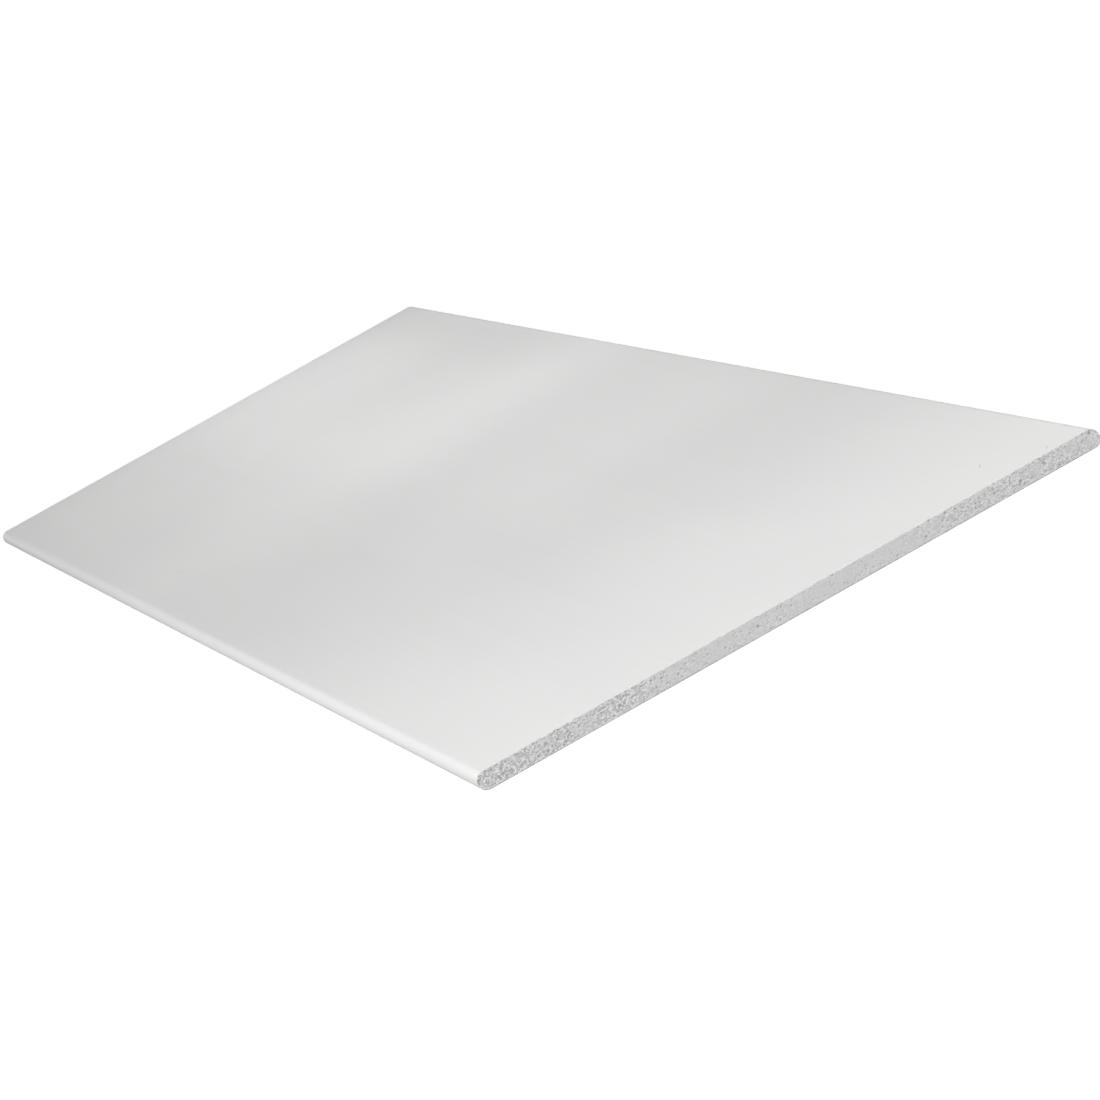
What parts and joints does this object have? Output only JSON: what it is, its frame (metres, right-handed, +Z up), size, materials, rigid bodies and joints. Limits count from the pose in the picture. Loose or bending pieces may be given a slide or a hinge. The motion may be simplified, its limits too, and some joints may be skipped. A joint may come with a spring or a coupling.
{
  "type": "multi-purpose plastic board",
  "caption": "Long flat board of white foamed plastic with half-round long edges and sawn ends that show the fine foam, for trim, cladding and soffits.",
  "frame": {"origin": "centre of the board's underside, where it lies on the floor", "axes": "+X across the width, +Y along the length, +Z up through the thickness"},
  "size_m": [0.35, 2.5, 0.01],
  "materials": {
    "white_foam_plastic": "smooth satin white skin, sawn ends matt grey-white with fine open foam cells"
  },
  "bodies": {
    "root": {"board": "white_foam_plastic"}
  },
  "joints": []
}
